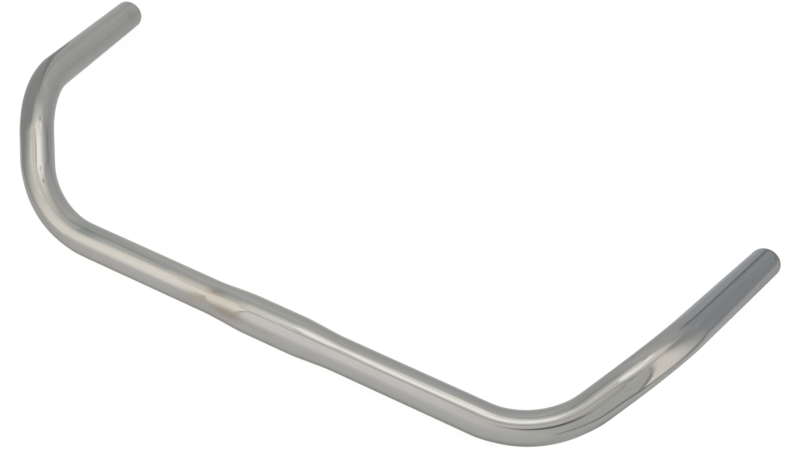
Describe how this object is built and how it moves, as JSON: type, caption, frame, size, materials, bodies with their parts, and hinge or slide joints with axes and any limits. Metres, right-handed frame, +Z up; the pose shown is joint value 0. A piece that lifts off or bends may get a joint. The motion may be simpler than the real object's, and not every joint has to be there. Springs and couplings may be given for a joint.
{
  "type": "bicycle handlebar",
  "caption": "Swept-back bicycle handlebar bent from one chromed steel tube, with a swaged clamp bulge in the middle and two open grip ends that sweep back.",
  "frame": {"origin": "centre of the clamp bulge, on the axis of the straight middle", "axes": "+X along the straight middle to the right end, +Y back towards the open grip ends, +Z up with the bar lying on its bulge and its two lower lips"},
  "size_m": [0.5602, 0.2409, 0.0649],
  "materials": {
    "chrome_plate": "polished chrome plate on steel, with light wear and a few small pits"
  },
  "bodies": {
    "root": {"handlebar": "chrome_plate"}
  },
  "joints": []
}
